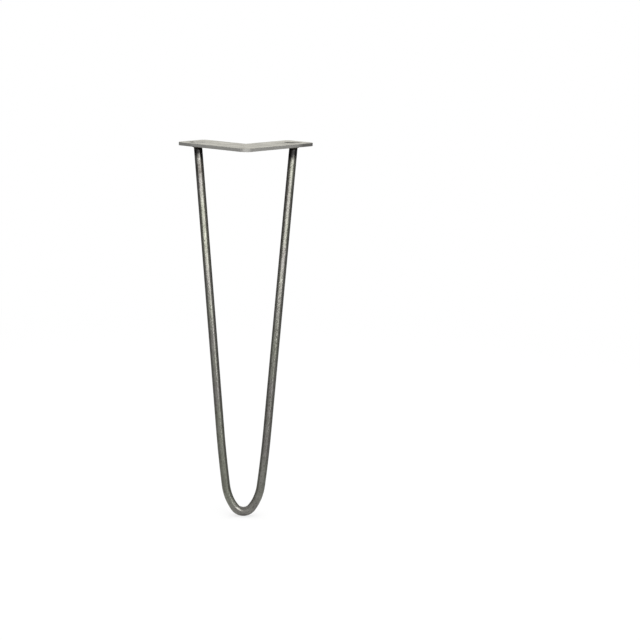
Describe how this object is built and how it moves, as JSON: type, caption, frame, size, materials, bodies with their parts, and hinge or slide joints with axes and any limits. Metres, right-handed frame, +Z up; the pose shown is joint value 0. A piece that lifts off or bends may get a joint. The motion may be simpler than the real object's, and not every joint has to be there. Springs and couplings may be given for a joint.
{
  "type": "hairpin table leg",
  "caption": "Hairpin table leg: a round steel bar bent to a narrow V, splayed outwards and welded under an angled flat plate with screw slots.",
  "frame": {"origin": "on the plate's top face, where the centre lines of its two arms cross", "axes": "+Z up, out of the plate's top face; X across the leg, its mirror direction; -Y towards the plate's outer elbow, the way the foot splays"},
  "size_m": [0.1638, 0.1196, 0.45],
  "materials": {
    "plate_steel": "raw rolled flat steel, lightly sanded",
    "rod_steel": "raw bright-drawn bar with grey-green mill scale, satin",
    "weld_steel": "as-welded bead with brown heat tint"
  },
  "bodies": {
    "root": {"mounting_plate": "plate_steel", "hairpin_rod": "rod_steel", "weld_bead_left": "weld_steel", "weld_bead_right": "weld_steel"}
  },
  "joints": []
}
